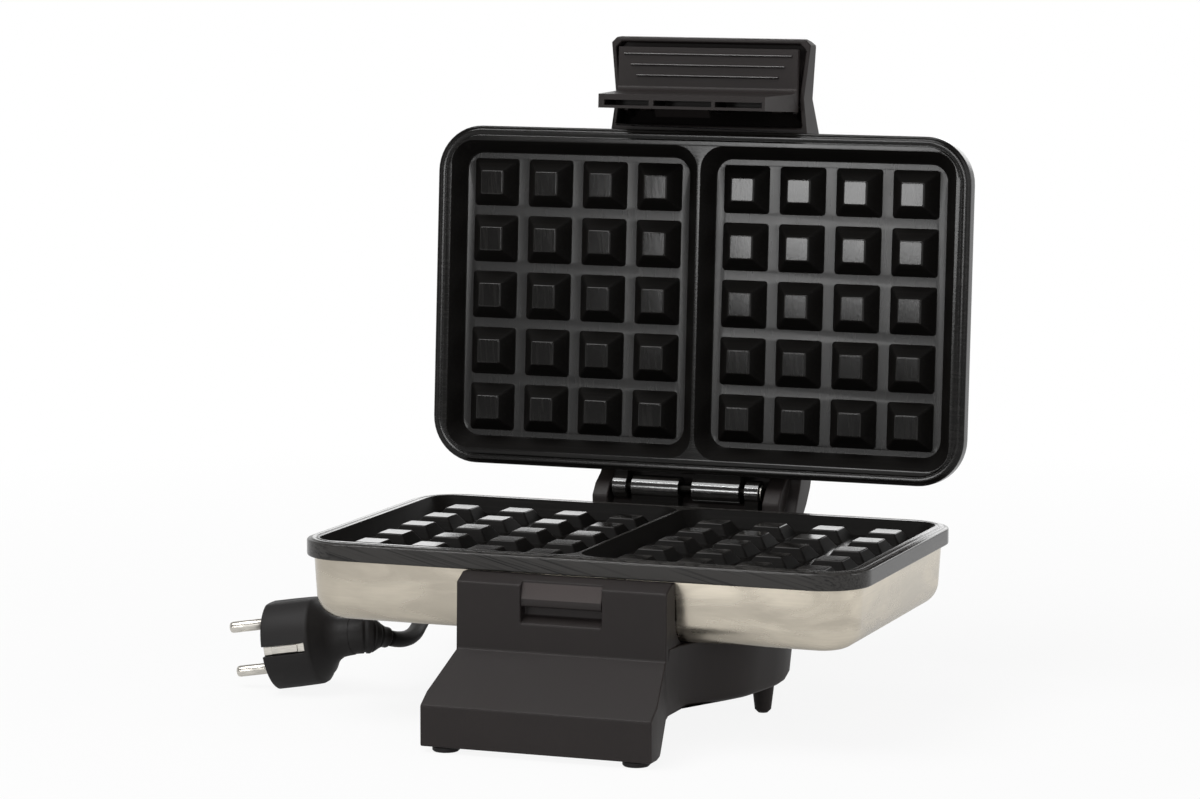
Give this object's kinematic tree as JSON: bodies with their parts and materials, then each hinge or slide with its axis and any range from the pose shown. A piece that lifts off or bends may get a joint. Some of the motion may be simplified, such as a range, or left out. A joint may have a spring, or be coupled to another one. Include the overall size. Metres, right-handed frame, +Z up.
{
  "type": "belgian waffle maker",
  "caption": "Countertop waffle maker with rectangular grid plates, hinged lid, handle with sprung latch, moulded stand on legs and a mains cord with plug.",
  "frame": {"origin": "centre of the bounding box's base, on the table, measured without the cord and plug", "axes": "+Z up, -Y towards the user, +X to the user's right as the user faces the front"},
  "size_m": [0.296, 0.2931, 0.2737],
  "materials": {
    "plastic": "fine matte moulded black",
    "coating": "cast, dark non-stick coating",
    "steel": "brushed pressed steel",
    "nickel": "nickel plated",
    "rubber": "matte black",
    "tube": "heat darkened tube",
    "foil": "plain rolled sheet",
    "ceramic": "white heat-proof body",
    "red": "clear red lens",
    "green": "clear green lens"
  },
  "bodies": {
    "base": {"base_stand": "plastic", "bottom_cover": "plastic", "bottom_cover_screw_1": "nickel", "bottom_cover_screw_2": "nickel", "bottom_cover_screw_3": "nickel", "bottom_cover_screw_4": "nickel", "front_foot_left": "rubber", "front_foot_right": "rubber", "middle_leg_left": "plastic", "middle_leg_right": "plastic", "rear_foot_left": "rubber", "rear_foot_right": "rubber", "lower_housing": "steel", "lower_plate": "coating", "lower_heating_element": "tube", "lower_reflector": "foil", "thermostat": "ceramic", "thermal_fuse": "ceramic", "terminal_block": "ceramic", "hinge_pin": "nickel", "hinge_pin_clip": "nickel", "cord_gland": "rubber", "cord_at_gland": "rubber", "cord_coil": "rubber", "cord_tie": "plastic", "cord_at_plug": "rubber", "plug_body": "rubber", "plug_pin_upper": "nickel", "plug_pin_lower": "nickel", "plug_earth_near": "nickel", "plug_earth_far": "nickel"},
    "lid": {"upper_plate": "coating", "lid_shell": "steel", "lid_band": "plastic", "upper_heating_element": "tube", "upper_reflector": "foil", "power_lamp_lens": "red", "ready_lamp_lens": "green", "latch_pin": "nickel", "latch_spring": "nickel"},
    "latch": {"latch_lever": "plastic"}
  },
  "joints": [
    {"name": "lid_hinge", "type": "hinge", "parent": "base", "child": "lid", "pos_m": [0, 0.07569, 0.08102], "axis": [1, 0, 0], "range_deg": [0, 93.66]},
    {"name": "latch_pivot", "type": "hinge", "parent": "lid", "child": "latch", "pos_m": [0, 0.09717, 0.24483], "axis": [-1, 0, 0], "range_deg": [0, 8], "stiffness_Nm_per_rad": 0.25, "springref_deg": -20.05}
  ]
}
